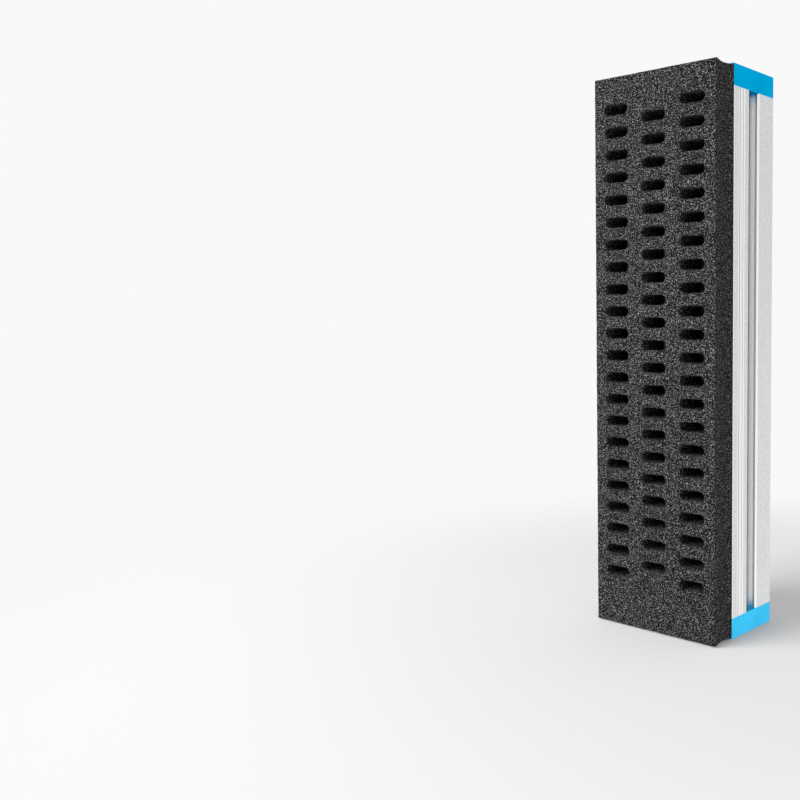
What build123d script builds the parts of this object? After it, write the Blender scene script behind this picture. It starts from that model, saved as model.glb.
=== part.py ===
"""Foam area gripper: an extruded vacuum body with end caps, restrictor strips and a slotted foam pad.

Frame in millimetres: the gripper stands on its lower end cap, +Z runs along its length,
the foam faces -Y and the mounting face looks along +Y. The origin is the middle of the footprint.
"""
from build123d import *
import os

os.makedirs("parts", exist_ok=True)

# Overall sizes
gripper_length = 450.0
body_width = 120.0
body_depth = 62.0
foam_thickness = 24.0
cap_thickness = 17.0
rear_corner_radius = 5.0
cap_edge_chamfer = 0.6

# Suction cells, counted down from the upper end
cell_pitch = 18.0
cell_length = 23.5
cell_width = 8.0
side_column_from_side = 22.5
side_column_cells = 22
middle_column_cells = 21
first_cell_from_top = 27.0

# Foam pad
foam_end_inset = 1.0
foam_edge_hollow = 1.5

# Vacuum chamber inside the profile
suction_wall = 8.0
rear_wall = 4.0
side_wall = 12.5
chamber_corner_radius = 4.0

# Restrictor strips and the windows behind them
strip_width = 13.6
strip_thickness = 3.0
strip_side_clearance = 0.2
restrictor_diameter = 2.4
window_width = 6.0
window_overrun = 5.0
cells_per_window = 3

# T-slots in both sides, measured from the foam's seat
slot_from_seat = 22.0
slot_mouth = 13.4
slot_lip = 3.0
slot_undercut = 3.3
slot_depth = 7.2
slot_front_chamfer = 0.4
slot_rear_chamfer = 1.0

# Joint between the suction base and the body, and the decorative grooves
base_depth = 14.0
joint_chamfer = 0.5
side_groove_from_seat = 9.4
side_groove_width = 1.6
rear_groove_from_side = 12.0
rear_groove_width = 1.0

# Gasket rings round the chamber, in grooves of the end caps
gasket_from_chamber = 0.3
gasket_width = 1.6
gasket_thickness = 1.0

# Screws that hold the end caps to the profile
end_screw_diameter = 5.0
end_screw_head = 10.0
end_screw_length = 35.0
end_screw_socket = 3.0
end_screw_from_side = 7.5
front_end_screw_from_seat = 8.3
rear_end_screw_from_slot = 8.1

# Screws that close the suspension threads in the caps' rear faces
suspension_screw_diameter = 6.0
suspension_screw_head = 12.0
suspension_screw_length = 16.0
suspension_screw_socket = 4.0
suspension_screw_from_side = 23.0

# Values shared by all screws
head_recess = 0.3
screw_clearance = 0.1
socket_depth_share = 0.42
screw_tip_chamfer = 0.6

# Vacuum connection in the upper cap, with the core diameter of a half-inch pipe thread
port_core_diameter = 18.6
port_thread_length = 12.0
port_channel_diameter = 15.0
strainer_diameter = 17.0
strainer_thickness = 1.0
strainer_clearance = 0.1
strainer_hole_diameter = 2.0
strainer_hole_pitch = 2.9

# Gauge connection in the upper cap's rear face, with the core diameter of an M5 thread
gauge_core_diameter = 4.2
gauge_thread_length = 9.0
gauge_channel_diameter = 3.2
gauge_channel_depth = 6.0
gauge_drop_diameter = 2.6

# Places worked out from the sizes
seat_y = foam_thickness - (foam_thickness + body_depth) / 2
suction_y = seat_y - foam_thickness
rear_y = seat_y + body_depth
body_centre_y = (seat_y + rear_y) / 2
joint_y = seat_y + base_depth
side_x = body_width / 2
profile_length = gripper_length - 2 * cap_thickness
upper_cap_z = gripper_length - cap_thickness
column_spacing = side_x - side_column_from_side
chamber_width = body_width - 2 * side_wall
chamber_front_y = seat_y + suction_wall
chamber_depth = body_depth - suction_wall - rear_wall
chamber_centre_y = chamber_front_y + chamber_depth / 2
slot_front_y = seat_y + slot_from_seat
slot_rear_y = slot_front_y + slot_mouth
slot_centre_y = (slot_front_y + slot_rear_y) / 2
port_y = body_centre_y
strainer_z = gripper_length - port_thread_length - strainer_thickness
columns = [
    (-column_spacing, side_column_cells, 0.0),
    (0.0, middle_column_cells, cell_pitch / 2),
    (column_spacing, side_column_cells, 0.0),
]
front_end_screw_spots = [
    (side * (side_x - end_screw_from_side), seat_y + front_end_screw_from_seat)
    for side in (-1, 1)
]
rear_end_screw_spots = [
    (side * (side_x - end_screw_from_side), slot_rear_y + rear_end_screw_from_slot)
    for side in (-1, 1)
]
end_screw_spots = front_end_screw_spots + rear_end_screw_spots


def cell_heights(count, drop):
    """Heights of the cells of one column, from the top one down."""
    first = gripper_length - first_cell_from_top - drop
    return [first - index * cell_pitch for index in range(count)]


def side_slot_points():
    """Corners of the T-slot at the +X side, from the front of its mouth round to the rear."""
    return [
        (side_x, slot_front_y - slot_front_chamfer),
        (side_x - slot_front_chamfer, slot_front_y),
        (side_x - slot_lip, slot_front_y),
        (side_x - slot_lip, slot_front_y - slot_undercut),
        (side_x - slot_depth, slot_front_y - slot_undercut),
        (side_x - slot_depth, slot_rear_y + slot_undercut),
        (side_x - slot_lip, slot_rear_y + slot_undercut),
        (side_x - slot_lip, slot_rear_y),
        (side_x - slot_rear_chamfer, slot_rear_y),
        (side_x, slot_rear_y + slot_rear_chamfer),
    ]


def side_groove_points(from_seat, width):
    """Corners of a V-groove in the +X side, as deep as half its width."""
    centre = seat_y + from_seat
    return [
        (side_x, centre - width / 2),
        (side_x - width / 2, centre),
        (side_x, centre + width / 2),
    ]


def rear_groove_points():
    """Corners of the V-groove in the rear face at the +X side."""
    centre = side_x - rear_groove_from_side
    half = rear_groove_width / 2
    return [(centre - half, rear_y), (centre, rear_y - half), (centre + half, rear_y)]


def foam_hollow_points(edge):
    """Chord ends and middle of the shallow arc that the die leaves in a cut edge of the foam."""
    return [
        (edge, suction_y),
        (edge - foam_edge_hollow, (suction_y + seat_y) / 2),
        (edge, seat_y),
    ]


def countersunk_screw(diameter, head, length, socket):
    """Countersunk screw with a hex socket, its head face at height 0 and its shank pointing down."""
    head_height = (head - diameter) / 2
    with BuildPart() as screw:
        with BuildSketch(Plane.XZ):
            with BuildLine():
                Polyline(
                    (0, 0),
                    (head / 2, 0),
                    (diameter / 2, -head_height),
                    (diameter / 2, screw_tip_chamfer - length),
                    (diameter / 2 - screw_tip_chamfer, -length),
                    (0, -length),
                    close=True,
                )
            make_face()
        revolve(axis=Axis.Z)
        with BuildSketch():
            RegularPolygon(socket / 2, 6, major_radius=False)
        extrude(amount=-socket_depth_share * head / 2, mode=Mode.SUBTRACT)
    return screw.part


def extruded_block(front_y, back_y):
    """Plain block over the profile's length, between two depths."""
    with BuildPart() as block:
        with BuildSketch(Plane.XY.offset(cap_thickness)):
            with Locations((0, (front_y + back_y) / 2)):
                Rectangle(body_width, back_y - front_y)
        extrude(amount=profile_length)
    return block.part


def chamber_face():
    """Section of the vacuum chamber, which the base and the body enclose together."""
    with BuildSketch() as section:
        with Locations((0, chamber_centre_y)):
            RectangleRounded(chamber_width, chamber_depth, chamber_corner_radius)
    return section.sketch


def gasket_face():
    """Section of a gasket ring, which runs round the chamber at a small distance."""
    with BuildSketch() as section:
        with Locations((0, chamber_centre_y)):
            for gap, mode in (
                (gasket_from_chamber + gasket_width, Mode.ADD),
                (gasket_from_chamber, Mode.SUBTRACT),
            ):
                RectangleRounded(
                    chamber_width + 2 * gap,
                    chamber_depth + 2 * gap,
                    chamber_corner_radius + gap,
                    mode=mode,
                )
    return section.sketch


# Suction base with strip grooves, front screw channels and the windows behind the cells
with BuildPart() as suction_base:
    add(extruded_block(seat_y, joint_y))
    chamfer(suction_base.edges().filter_by(Axis.Z).group_by(Axis.Y)[-1], joint_chamfer)
    with BuildSketch(Plane.XY.offset(cap_thickness)):
        with BuildLine():
            Polyline(*side_groove_points(side_groove_from_seat, side_groove_width), close=True)
        make_face()
        mirror(about=Plane.YZ)
        add(chamber_face())
        for column_x, count, drop in columns:
            with Locations((column_x, seat_y + strip_thickness / 2)):
                Rectangle(strip_width + 2 * strip_side_clearance, strip_thickness)
        with Locations(*front_end_screw_spots):
            Circle(end_screw_diameter / 2 + screw_clearance)
    extrude(amount=profile_length, mode=Mode.SUBTRACT)
    with BuildSketch(Plane.XZ.offset(-chamber_front_y)):
        for column_x, count, drop in columns:
            heights = cell_heights(count, drop)
            for first in range(0, count, cells_per_window):
                served = heights[first : first + cells_per_window]
                with Locations((column_x, (served[0] + served[-1]) / 2)):
                    SlotOverall(served[0] - served[-1] + 2 * window_overrun, window_width, rotation=90)
    extrude(amount=suction_wall - strip_thickness, mode=Mode.SUBTRACT)
suction_base.part.label = "suction_base"
export_step(suction_base.part, "parts/suction_base.step")

# Extruded body with a T-slot in each side, closed by the suction base in front
with BuildPart() as profile:
    add(extruded_block(joint_y, rear_y))
    fillet(profile.edges().filter_by(Axis.Z).group_by(Axis.Y)[-1], rear_corner_radius)
    chamfer(profile.edges().filter_by(Axis.Z).group_by(Axis.Y)[0], joint_chamfer)
    with BuildSketch(Plane.XY.offset(cap_thickness)):
        for points in (side_slot_points(), rear_groove_points()):
            with BuildLine():
                Polyline(*points, close=True)
            make_face()
        mirror(about=Plane.YZ)
        add(chamber_face())
        with Locations(*rear_end_screw_spots):
            Circle(end_screw_diameter / 2 + screw_clearance)
    extrude(amount=profile_length, mode=Mode.SUBTRACT)
profile.part.label = "profile"
export_step(profile.part, "parts/profile.step")


def end_cap(inner_z, outward):
    """Cap with its inner face at a height and its outer face one thickness outward, +1 up or -1 down."""
    outer_z = inner_z + outward * cap_thickness
    middle_z = (inner_z + outer_z) / 2
    with BuildPart() as cap:
        with BuildSketch(Plane.XY.offset(inner_z)):
            with Locations((0, body_centre_y)):
                Rectangle(body_width, body_depth)
        extrude(amount=outward * cap_thickness)
        fillet(cap.edges().filter_by(Axis.Z).group_by(Axis.Y)[-1], rear_corner_radius)
        outer_face = cap.faces().filter_by(Axis.Z).sort_by(Axis.Z)[-1 if outward > 0 else 0]
        chamfer(outer_face.edges(), cap_edge_chamfer)
        with BuildSketch(Plane.XY.offset(inner_z)):
            add(gasket_face())
        extrude(amount=outward * gasket_thickness, mode=Mode.SUBTRACT)
        with BuildSketch(Plane.XY.offset(inner_z)):
            with Locations(*end_screw_spots):
                Circle(end_screw_diameter / 2 + screw_clearance)
        extrude(amount=outward * cap_thickness, mode=Mode.SUBTRACT)
        head_plane = Plane.XY.offset(outer_z - outward * head_recess)
        seat_plane = head_plane.offset(-outward * (end_screw_head - end_screw_diameter) / 2)
        with Locations(*[seat_plane.location * Location(spot) for spot in end_screw_spots]):
            Cone(
                end_screw_diameter / 2,
                end_screw_head / 2,
                (end_screw_head - end_screw_diameter) / 2,
                rotation=(0, 0 if outward > 0 else 180, 0),
                align=(Align.CENTER, Align.CENTER, Align.MIN),
                mode=Mode.SUBTRACT,
            )
        with BuildSketch(head_plane):
            with Locations(*end_screw_spots):
                Circle(end_screw_head / 2)
        extrude(amount=outward * head_recess, mode=Mode.SUBTRACT)
        rear_plane = Plane.XZ.offset(-rear_y)
        suspension_spots = [
            (side * (side_x - suspension_screw_from_side), middle_z) for side in (-1, 1)
        ]
        with BuildSketch(rear_plane):
            with Locations(*suspension_spots):
                Circle(suspension_screw_diameter / 2 + screw_clearance)
        extrude(amount=suspension_screw_length + 2, mode=Mode.SUBTRACT)
        with BuildSketch(rear_plane):
            with Locations(*suspension_spots):
                Circle(suspension_screw_head / 2)
        extrude(amount=head_recess, mode=Mode.SUBTRACT)
        with BuildSketch(rear_plane.offset(head_recess)):
            with Locations(*suspension_spots):
                Circle(suspension_screw_head / 2)
        extrude(
            amount=(suspension_screw_head - suspension_screw_diameter) / 2,
            taper=45,
            mode=Mode.SUBTRACT,
        )
    return cap.part


# Lower cap, on which the gripper stands
with BuildPart() as end_cap_lower:
    add(end_cap(cap_thickness, -1))
end_cap_lower.part.label = "end_cap_lower"
export_step(end_cap_lower.part, "parts/end_cap_lower.step")

# Upper cap, which also holds the vacuum connection and the gauge connection
with BuildPart() as end_cap_upper:
    add(end_cap(upper_cap_z, 1))
    with BuildSketch(Plane.XY.offset(gripper_length)):
        with Locations((0, port_y)):
            Circle(port_core_diameter / 2)
    extrude(amount=-port_thread_length, mode=Mode.SUBTRACT)
    with BuildSketch(Plane.XY.offset(strainer_z)):
        with Locations((0, port_y)):
            Circle(strainer_diameter / 2 + strainer_clearance)
    extrude(amount=strainer_thickness, mode=Mode.SUBTRACT)
    with BuildSketch(Plane.XY.offset(upper_cap_z)):
        with Locations((0, port_y)):
            Circle(port_channel_diameter / 2)
    extrude(amount=cap_thickness, mode=Mode.SUBTRACT)
    gauge_plane = Plane.XZ.offset(-rear_y)
    with BuildSketch(gauge_plane):
        with Locations((0, upper_cap_z + cap_thickness / 2)):
            Circle(gauge_core_diameter / 2)
    extrude(amount=gauge_thread_length, mode=Mode.SUBTRACT)
    gauge_end_y = rear_y - gauge_thread_length - gauge_channel_depth
    with BuildSketch(Plane.XZ.offset(-gauge_end_y)):
        with Locations((0, upper_cap_z + cap_thickness / 2)):
            Circle(gauge_channel_diameter / 2)
    extrude(amount=-gauge_channel_depth, mode=Mode.SUBTRACT)
    with BuildSketch(Plane.XY.offset(upper_cap_z)):
        with Locations((0, gauge_end_y + gauge_channel_diameter / 2)):
            Circle(gauge_drop_diameter / 2)
    extrude(amount=cap_thickness / 2, mode=Mode.SUBTRACT)
end_cap_upper.part.label = "end_cap_upper"
export_step(end_cap_upper.part, "parts/end_cap_upper.step")


def end_gasket(bottom_z):
    """Gasket ring that fills the groove of an end cap and ends flush with the cap's inner face."""
    with BuildPart() as gasket:
        with BuildSketch(Plane.XY.offset(bottom_z)):
            add(gasket_face())
        extrude(amount=gasket_thickness)
    return gasket.part


# Gasket rings of both caps
with BuildPart() as end_gasket_lower:
    add(end_gasket(cap_thickness - gasket_thickness))
end_gasket_lower.part.label = "end_gasket_lower"
export_step(end_gasket_lower.part, "parts/end_gasket_lower.step")

with BuildPart() as end_gasket_upper:
    add(end_gasket(upper_cap_z))
end_gasket_upper.part.label = "end_gasket_upper"
export_step(end_gasket_upper.part, "parts/end_gasket_upper.step")

# Foam pad with one slot for each cell and shallow hollow edges
with BuildPart() as foam_pad:
    with BuildSketch(Plane.XZ.offset(-seat_y)):
        with Locations((0, gripper_length / 2)):
            Rectangle(body_width, gripper_length - 2 * foam_end_inset)
    extrude(amount=foam_thickness)
    with BuildSketch(Plane.XY):
        with BuildLine():
            arc = ThreePointArc(*foam_hollow_points(side_x))
            Line(arc @ 0, arc @ 1)
        make_face()
        mirror(about=Plane.YZ)
    extrude(amount=gripper_length, mode=Mode.SUBTRACT)
    with BuildSketch(Plane.YZ.offset(-side_x)):
        for edge_z, inward in ((gripper_length - foam_end_inset, -1), (foam_end_inset, 1)):
            with BuildLine():
                end_arc = ThreePointArc(
                    (suction_y, edge_z),
                    ((suction_y + seat_y) / 2, edge_z + inward * foam_edge_hollow),
                    (seat_y, edge_z),
                )
                Line(end_arc @ 0, end_arc @ 1)
            make_face()
    extrude(amount=body_width, mode=Mode.SUBTRACT)
    with BuildSketch(Plane.XZ.offset(-seat_y)):
        for column_x, count, drop in columns:
            with Locations(*[(column_x, height) for height in cell_heights(count, drop)]):
                SlotOverall(cell_length, cell_width)
    extrude(amount=foam_thickness, mode=Mode.SUBTRACT)
foam_pad.part.label = "foam_pad"
export_step(foam_pad.part, "parts/foam_pad.step")

# Restrictor strips, one in the groove behind each column of cells
for strip_name, (column_x, count, drop) in zip(("left", "middle", "right"), columns):
    with BuildPart() as restrictor_strip:
        with BuildSketch(Plane.XY.offset(cap_thickness)):
            with Locations((column_x, seat_y + strip_thickness / 2)):
                Rectangle(strip_width, strip_thickness)
        extrude(amount=profile_length)
        with BuildSketch(Plane.XZ.offset(-seat_y - strip_thickness)):
            with Locations(*[(column_x, height) for height in cell_heights(count, drop)]):
                Circle(restrictor_diameter / 2)
        extrude(amount=strip_thickness, mode=Mode.SUBTRACT)
    restrictor_strip.part.label = f"restrictor_strip_{strip_name}"
    export_step(restrictor_strip.part, f"parts/restrictor_strip_{strip_name}.step")

# Screws that hold the caps, four at each end
end_screw = countersunk_screw(
    end_screw_diameter, end_screw_head, end_screw_length, end_screw_socket
)
with BuildPart() as end_screws_upper:
    for spot in end_screw_spots:
        add(Location((*spot, gripper_length - head_recess)) * end_screw)
end_screws_upper.part.label = "end_screws_upper"
export_step(end_screws_upper.part, "parts/end_screws_upper.step")

with BuildPart() as end_screws_lower:
    for spot in end_screw_spots:
        add(Location((*spot, head_recess), (180, 0, 0)) * end_screw)
end_screws_lower.part.label = "end_screws_lower"
export_step(end_screws_lower.part, "parts/end_screws_lower.step")

# Screws in the rear faces of the caps, two at each end
suspension_screw = countersunk_screw(
    suspension_screw_diameter,
    suspension_screw_head,
    suspension_screw_length,
    suspension_screw_socket,
)
for end_name, cap_middle_z in (
    ("lower", cap_thickness / 2),
    ("upper", gripper_length - cap_thickness / 2),
):
    with BuildPart() as suspension_screws:
        for side in (-1, 1):
            spot_x = side * (side_x - suspension_screw_from_side)
            add(Location((spot_x, rear_y - head_recess, cap_middle_z), (-90, 0, 0)) * suspension_screw)
    suspension_screws.part.label = f"suspension_screws_{end_name}"
    export_step(suspension_screws.part, f"parts/suspension_screws_{end_name}.step")

# Strainer disc on the shoulder below the port's thread
with BuildPart() as port_strainer:
    with BuildSketch(Plane.XY.offset(strainer_z)):
        with Locations((0, port_y)):
            Circle(strainer_diameter / 2)
            Circle(strainer_hole_diameter / 2, mode=Mode.SUBTRACT)
            for ring in (1, 2):
                with PolarLocations(ring * strainer_hole_pitch, 6 * ring):
                    Circle(strainer_hole_diameter / 2, mode=Mode.SUBTRACT)
    extrude(amount=strainer_thickness)
port_strainer.part.label = "port_strainer"
export_step(port_strainer.part, "parts/port_strainer.step")
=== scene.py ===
"""Foam area gripper: sponge pad, screws, finishes, studio and camera.

Laid out as an add-on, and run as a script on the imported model, in metres. The gripper stands on
its lower end cap, +Z runs along its length and the sponge faces -Y.
"""
import math

import bpy
import numpy as np
from bpy.props import FloatProperty, FloatVectorProperty, IntProperty, PointerProperty
from mathutils import Matrix, Vector


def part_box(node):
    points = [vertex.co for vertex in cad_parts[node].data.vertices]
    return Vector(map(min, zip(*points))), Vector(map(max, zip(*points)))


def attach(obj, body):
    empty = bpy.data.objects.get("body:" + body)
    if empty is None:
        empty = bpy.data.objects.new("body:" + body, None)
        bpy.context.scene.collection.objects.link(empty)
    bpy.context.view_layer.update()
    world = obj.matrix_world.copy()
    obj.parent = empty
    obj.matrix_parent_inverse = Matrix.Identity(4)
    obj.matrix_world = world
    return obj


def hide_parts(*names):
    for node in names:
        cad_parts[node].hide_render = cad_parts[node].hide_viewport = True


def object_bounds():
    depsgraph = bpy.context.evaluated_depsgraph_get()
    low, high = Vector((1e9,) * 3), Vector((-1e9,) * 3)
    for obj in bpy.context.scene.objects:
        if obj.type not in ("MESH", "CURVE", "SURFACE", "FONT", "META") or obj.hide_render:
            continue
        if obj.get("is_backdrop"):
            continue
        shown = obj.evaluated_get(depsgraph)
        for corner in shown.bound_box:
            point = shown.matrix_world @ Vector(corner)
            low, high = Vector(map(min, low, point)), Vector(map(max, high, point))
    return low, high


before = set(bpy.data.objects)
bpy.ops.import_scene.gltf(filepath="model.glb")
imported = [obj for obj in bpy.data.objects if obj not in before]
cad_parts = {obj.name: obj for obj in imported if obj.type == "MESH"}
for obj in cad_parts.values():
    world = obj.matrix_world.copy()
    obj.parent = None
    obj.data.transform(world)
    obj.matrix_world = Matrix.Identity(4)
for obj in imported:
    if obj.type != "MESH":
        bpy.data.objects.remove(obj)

bl_info = {
    "name": "Foam Area Gripper",
    "version": (1, 0, 0),
    "blender": (4, 5, 0),
    "location": "View3D > Sidebar > Gripper",
    "description": "Sponge pad, screws, finishes and studio of a foam area gripper",
    "category": "Object",
}

# Steps of a ten-thousandth of a millimetre in a metre: points in the same step are made one
WELD_STEPS = 1e7
# Decimals of a metre that are kept of the sponge's points
DECIMALS = 9
# Quads across and along one tile of the sponge's skin, which holds one slot
TILE_STEPS_ACROSS = 25
TILE_STEPS_ALONG = 12
# Shade that stands for a groove or a joint too narrow for light to enter
GROOVE_SHADE = (0.02, 0.02, 0.021)


def length(name, description, default):
    """A property that holds a length in metres."""
    return FloatProperty(
        name=name, description=description, default=default,
        min=0.0, precision=5, unit="LENGTH", subtype="DISTANCE",
    )


def standpoint(name, description, default):
    """A property that holds a point in metres."""
    return FloatVectorProperty(
        name=name, description=description, default=default,
        size=3, unit="LENGTH", subtype="TRANSLATION",
    )


def colour(name, description, default):
    """A property that holds a linear colour."""
    return FloatVectorProperty(
        name=name, description=description, default=default,
        min=0.0, max=1.0, size=3, subtype="COLOR",
    )


def factor(name, description, default):
    """A property that holds a share from 0 to 1."""
    return FloatProperty(
        name=name, description=description, default=default, min=0.0, max=1.0, subtype="FACTOR"
    )


def brightness(name, description, default, unit="NONE"):
    """A property that holds the strength of a light, or its power in watts for the unit POWER."""
    return FloatProperty(name=name, description=description, default=default, min=0.0, unit=unit)


def bearing(name, description, degrees):
    """A property that holds an angle, given here in degrees."""
    return FloatProperty(
        name=name, description=description, default=math.radians(degrees), subtype="ANGLE"
    )


def number_of(name, description, default):
    """A property that holds how many slots there are."""
    return IntProperty(name=name, description=description, default=default, min=1, max=60)


class SpongeSettings(bpy.types.PropertyGroup):
    """Sizes and colours of the sponge pad."""

    cell_pitch: length("Cell pitch", "Distance between the slots of one column", 0.018)
    cell_length: length("Slot length", "Length of one suction slot across the pad", 0.0235)
    cell_width: length("Slot width", "Width of one suction slot along the pad", 0.008)
    column_spacing: length("Column spacing", "Distance between the middles of two columns", 0.0375)
    first_cell: length("First slot", "From the gripper's top end to the first side slot", 0.027)
    side_cells: number_of("Side slots", "Slots in each side column", 22)
    middle_cells: number_of("Middle slots", "Slots in the middle column", 21)
    cut_radius: length("Cut edge", "Radius that the die leaves on a cut edge", 0.0007)
    edge_hollow: length("Edge hollow", "How far the outer edges curve in at half depth", 0.0013)
    slot_hollow: length("Slot hollow", "How far a slot is wider at half depth", 0.0003)
    press_dip: length("Press dip", "How far the skin is pressed down beside a slot", 0.00016)
    waviness: length("Waviness", "Unevenness of the skin and the cut walls", 0.00012)
    pore_size: length("Pore size", "Distance between the open pores", 0.0006)
    speck_size: length("Speck size", "Distance between the pale specks", 0.0008)
    # The pores are painted darker than the rubber: painted shade inside them
    painted_pore_shade: colour("Pores", "Shade inside the open pores", (0.004, 0.004, 0.0045))
    rubber_colour: colour("Rubber", "Shade of the rubber between the pores", (0.01, 0.01, 0.0103))
    speck_colour: colour("Specks", "Shade of walls that catch the light", (0.42, 0.42, 0.426))


class MetalSettings(bpy.types.PropertyGroup):
    """Colours and roughness of the aluminium, the caps, the screws and the strainer."""

    aluminium: colour("Aluminium", "Shade of the anodised extrusion", (0.77, 0.775, 0.78))
    aluminium_roughness: factor("Extrusion roughness", "Roughness of the extrusion", 0.36)
    # The film of glue is painted near black, as the shade deep in the slots where it shows
    adhesive_and_shade: colour("Adhesive film", "Shade of the film under the sponge", (0.004, 0.004, 0.0045))
    # A painted shadow of the front lip along each T-slot's bottom
    lip_shadow_shade: factor("Slot streak", "How dark the streak along a T-slot's bottom is", 0.156)
    # Both caps have one dye: the lower cap's blue is painted paler, as painted light from the floor
    # below
    upper_blue: colour("Upper cap blue", "Dye of the upper anodised cap", (0.001, 0.41, 0.72))
    lower_blue_painted_paler: colour("Lower cap blue", "Dye of the lower anodised cap", (0.058, 0.59, 0.91))
    cap_roughness: factor("Cap roughness", "Roughness of the end caps", 0.32)
    screw_black: colour("Screw black", "Shade of the black oxide", (0.03, 0.03, 0.034))
    strainer_steel: colour("Strainer steel", "Shade of the strainer disc", (0.62, 0.62, 0.6))
    # Along edges the colour is painted paler: partly wear, partly a painted highlight
    edge_width: length("Worn edge", "Width of the rounded, brighter line along edges", 0.00035)


class ScrewSettings(bpy.types.PropertyGroup):
    """Sizes of the countersunk screws."""

    end_diameter: length("Cap screw", "Diameter of the caps' screws", 0.005)
    end_head: length("Cap screw head", "Head diameter of the caps' screws", 0.01)
    end_socket: length("Cap screw socket", "Width across the flats of their sockets", 0.003)
    end_thread: length("Cap screw pitch", "Thread pitch of the caps' screws", 0.0008)
    rear_diameter: length("Suspension screw", "Diameter of the suspension screws", 0.006)
    rear_head: length("Suspension screw head", "Head diameter of the suspension screws", 0.012)
    rear_socket: length("Suspension screw socket", "Width across the flats of their sockets", 0.004)
    rear_thread: length("Suspension screw pitch", "Thread pitch of the suspension screws", 0.001)


class SealSettings(bpy.types.PropertyGroup):
    """Colours of the gaskets and the restrictor strips."""

    gasket: colour("Gasket", "Shade of the gasket rings of both caps", (0.03, 0.03, 0.032))
    strip: colour("Restrictor strip", "Shade of the plastic strips", (0.004, 0.004, 0.0045))


class StudioSettings(bpy.types.PropertyGroup):
    """Floor, lamps and camera."""

    floor_colour: colour("Floor", "Colour of the floor and the background", (0.945, 0.945, 0.947))
    floor_size: length("Floor size", "Side of the square floor", 24.0)
    floor_lift: factor("Floor lift", "Light added to the floor where the camera sees it", 0.14)
    fade_start: length("Fade start", "Where the floor begins to fade to the background", 0.2)
    fade_end: length("Fade end", "Where the floor has faded to the background", 0.62)
    mirrored_floor: brightness("Mirrored floor", "Strength of the floor mirrored by metal", 1.16)
    mirrored_room: brightness("Mirrored room", "Strength of the room mirrored by metal", 1.0)
    room_light: brightness("Room light", "Strength of the light from all round", 0.345)
    key_power: brightness("Key lamp", "Power of the large front left lamp", 45.5, "POWER")
    key_place: standpoint("Key place", "Where the large lamp hangs", (-0.95, -1.75, 1.25))
    key_size: length("Key size", "Side of the large square lamp", 1.7)
    fill_power: brightness("Fill lamp", "Power of the weak lamp at the right", 2.0, "POWER")
    fill_place: standpoint("Fill place", "Where the weak lamp hangs", (1.9, -0.9, 1.2))
    fill_size: length("Fill size", "Side of the weak square lamp", 1.4)
    lamp_target: standpoint("Lamp target", "Point that both lamps look at", (0.0, 0.0, 0.2))
    camera_place: standpoint("Camera place", "Where the camera stands", (0.4624, -0.6381, 0.2595))
    camera_azimuth: bearing("Azimuth", "Turn of the view from +Y towards -X", 37.14)
    camera_elevation: bearing("Elevation", "Rise of the view direction", -4.27)
    camera_roll: bearing("Roll", "Turn of the picture about the view direction", -0.07)
    focal_share: FloatProperty(
        name="Focal length",
        description="Focal length as a share of the picture's width",
        default=1.1835,
    )
    shift: FloatVectorProperty(
        name="Shift",
        description="Sideways and upward shift of the picture, as a share of its width",
        default=(-0.331, -0.02),
        size=2,
    )


# Meshes


def grid_quads(shape, offset):
    """Corner numbers of the quads of a stack of grids of shape (stack, rows, columns), counted from
    offset. A quad goes from a point to the next row, then the next column, and back, so its normal
    is the cross product of the row step and the column step."""
    index = np.arange(np.prod(shape)).reshape(shape) + offset
    corners = (index[:, :-1, :-1], index[:, 1:, :-1], index[:, 1:, 1:], index[:, :-1, 1:])
    return np.stack(corners, -1).reshape(-1, 4)


def welded_surface(grids, masks=None):
    """Points and quads of several stacks of grids, with points in the same step made one. A mask
    drops the quads of its grid where it is false."""
    points = []
    quads = []
    offset = 0
    for number, grid in enumerate(grids):
        stack = grid.reshape((-1,) + grid.shape[-3:])
        found = grid_quads(stack.shape[:-1], offset)
        if masks and masks.get(number) is not None:
            found = found[masks[number].reshape(-1)]
        quads.append(found)
        points.append(stack.reshape(-1, 3))
        offset += points[-1].shape[0]
    points = np.concatenate(points)
    quads = np.concatenate(quads)
    keys = np.round(points * WELD_STEPS).astype(np.int64)
    first, same = np.unique(keys, axis=0, return_index=True, return_inverse=True)[1:]
    quads = same.reshape(-1)[quads]
    used, renumbered = np.unique(quads, return_inverse=True)
    return points[first][used], renumbered.reshape(-1, 4)


def closed(quads):
    """True if every edge of the surface is walked once in each direction."""
    ends = np.stack([quads, np.roll(quads, -1, axis=1)], -1).reshape(-1, 2)
    ends = ends[ends[:, 0] != ends[:, 1]]
    there = np.unique(ends, axis=0)
    back = np.unique(ends[:, ::-1], axis=0)
    return len(there) == len(ends) and np.array_equal(there, back)


def make_piece(name, points, quads, material):
    """Puts a surface into a mesh object that rides on the frame. Quads with two equal corners, at a
    pole, become triangles."""
    if not closed(quads):
        raise RuntimeError(f"{name}: the surface isn't closed")
    repeated = quads == np.roll(quads, -1, axis=1)
    whole = quads[~repeated.any(axis=1)]
    cut = quads[repeated.sum(axis=1) == 1]
    keep = ~(cut == np.roll(cut, -1, axis=1))
    triangles = cut[keep].reshape(-1, 3)
    mesh = bpy.data.meshes.new(name)
    mesh.from_pydata(points.tolist(), [], whole.tolist() + triangles.tolist())
    mesh.polygons.foreach_set("use_smooth", np.ones(len(mesh.polygons), bool))
    mesh.materials.append(material)
    mesh.update()
    piece = bpy.data.objects.new(name, mesh)
    bpy.context.scene.collection.objects.link(piece)
    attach(piece, "root")
    return piece


def dress(material, *node_names):
    """Gives CAD nodes their finish."""
    for node_name in node_names:
        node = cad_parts[node_name]
        if not node.material_slots:
            node.data.materials.append(material)
        for slot in node.material_slots:
            slot.material = material


# Sponge pad


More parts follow.
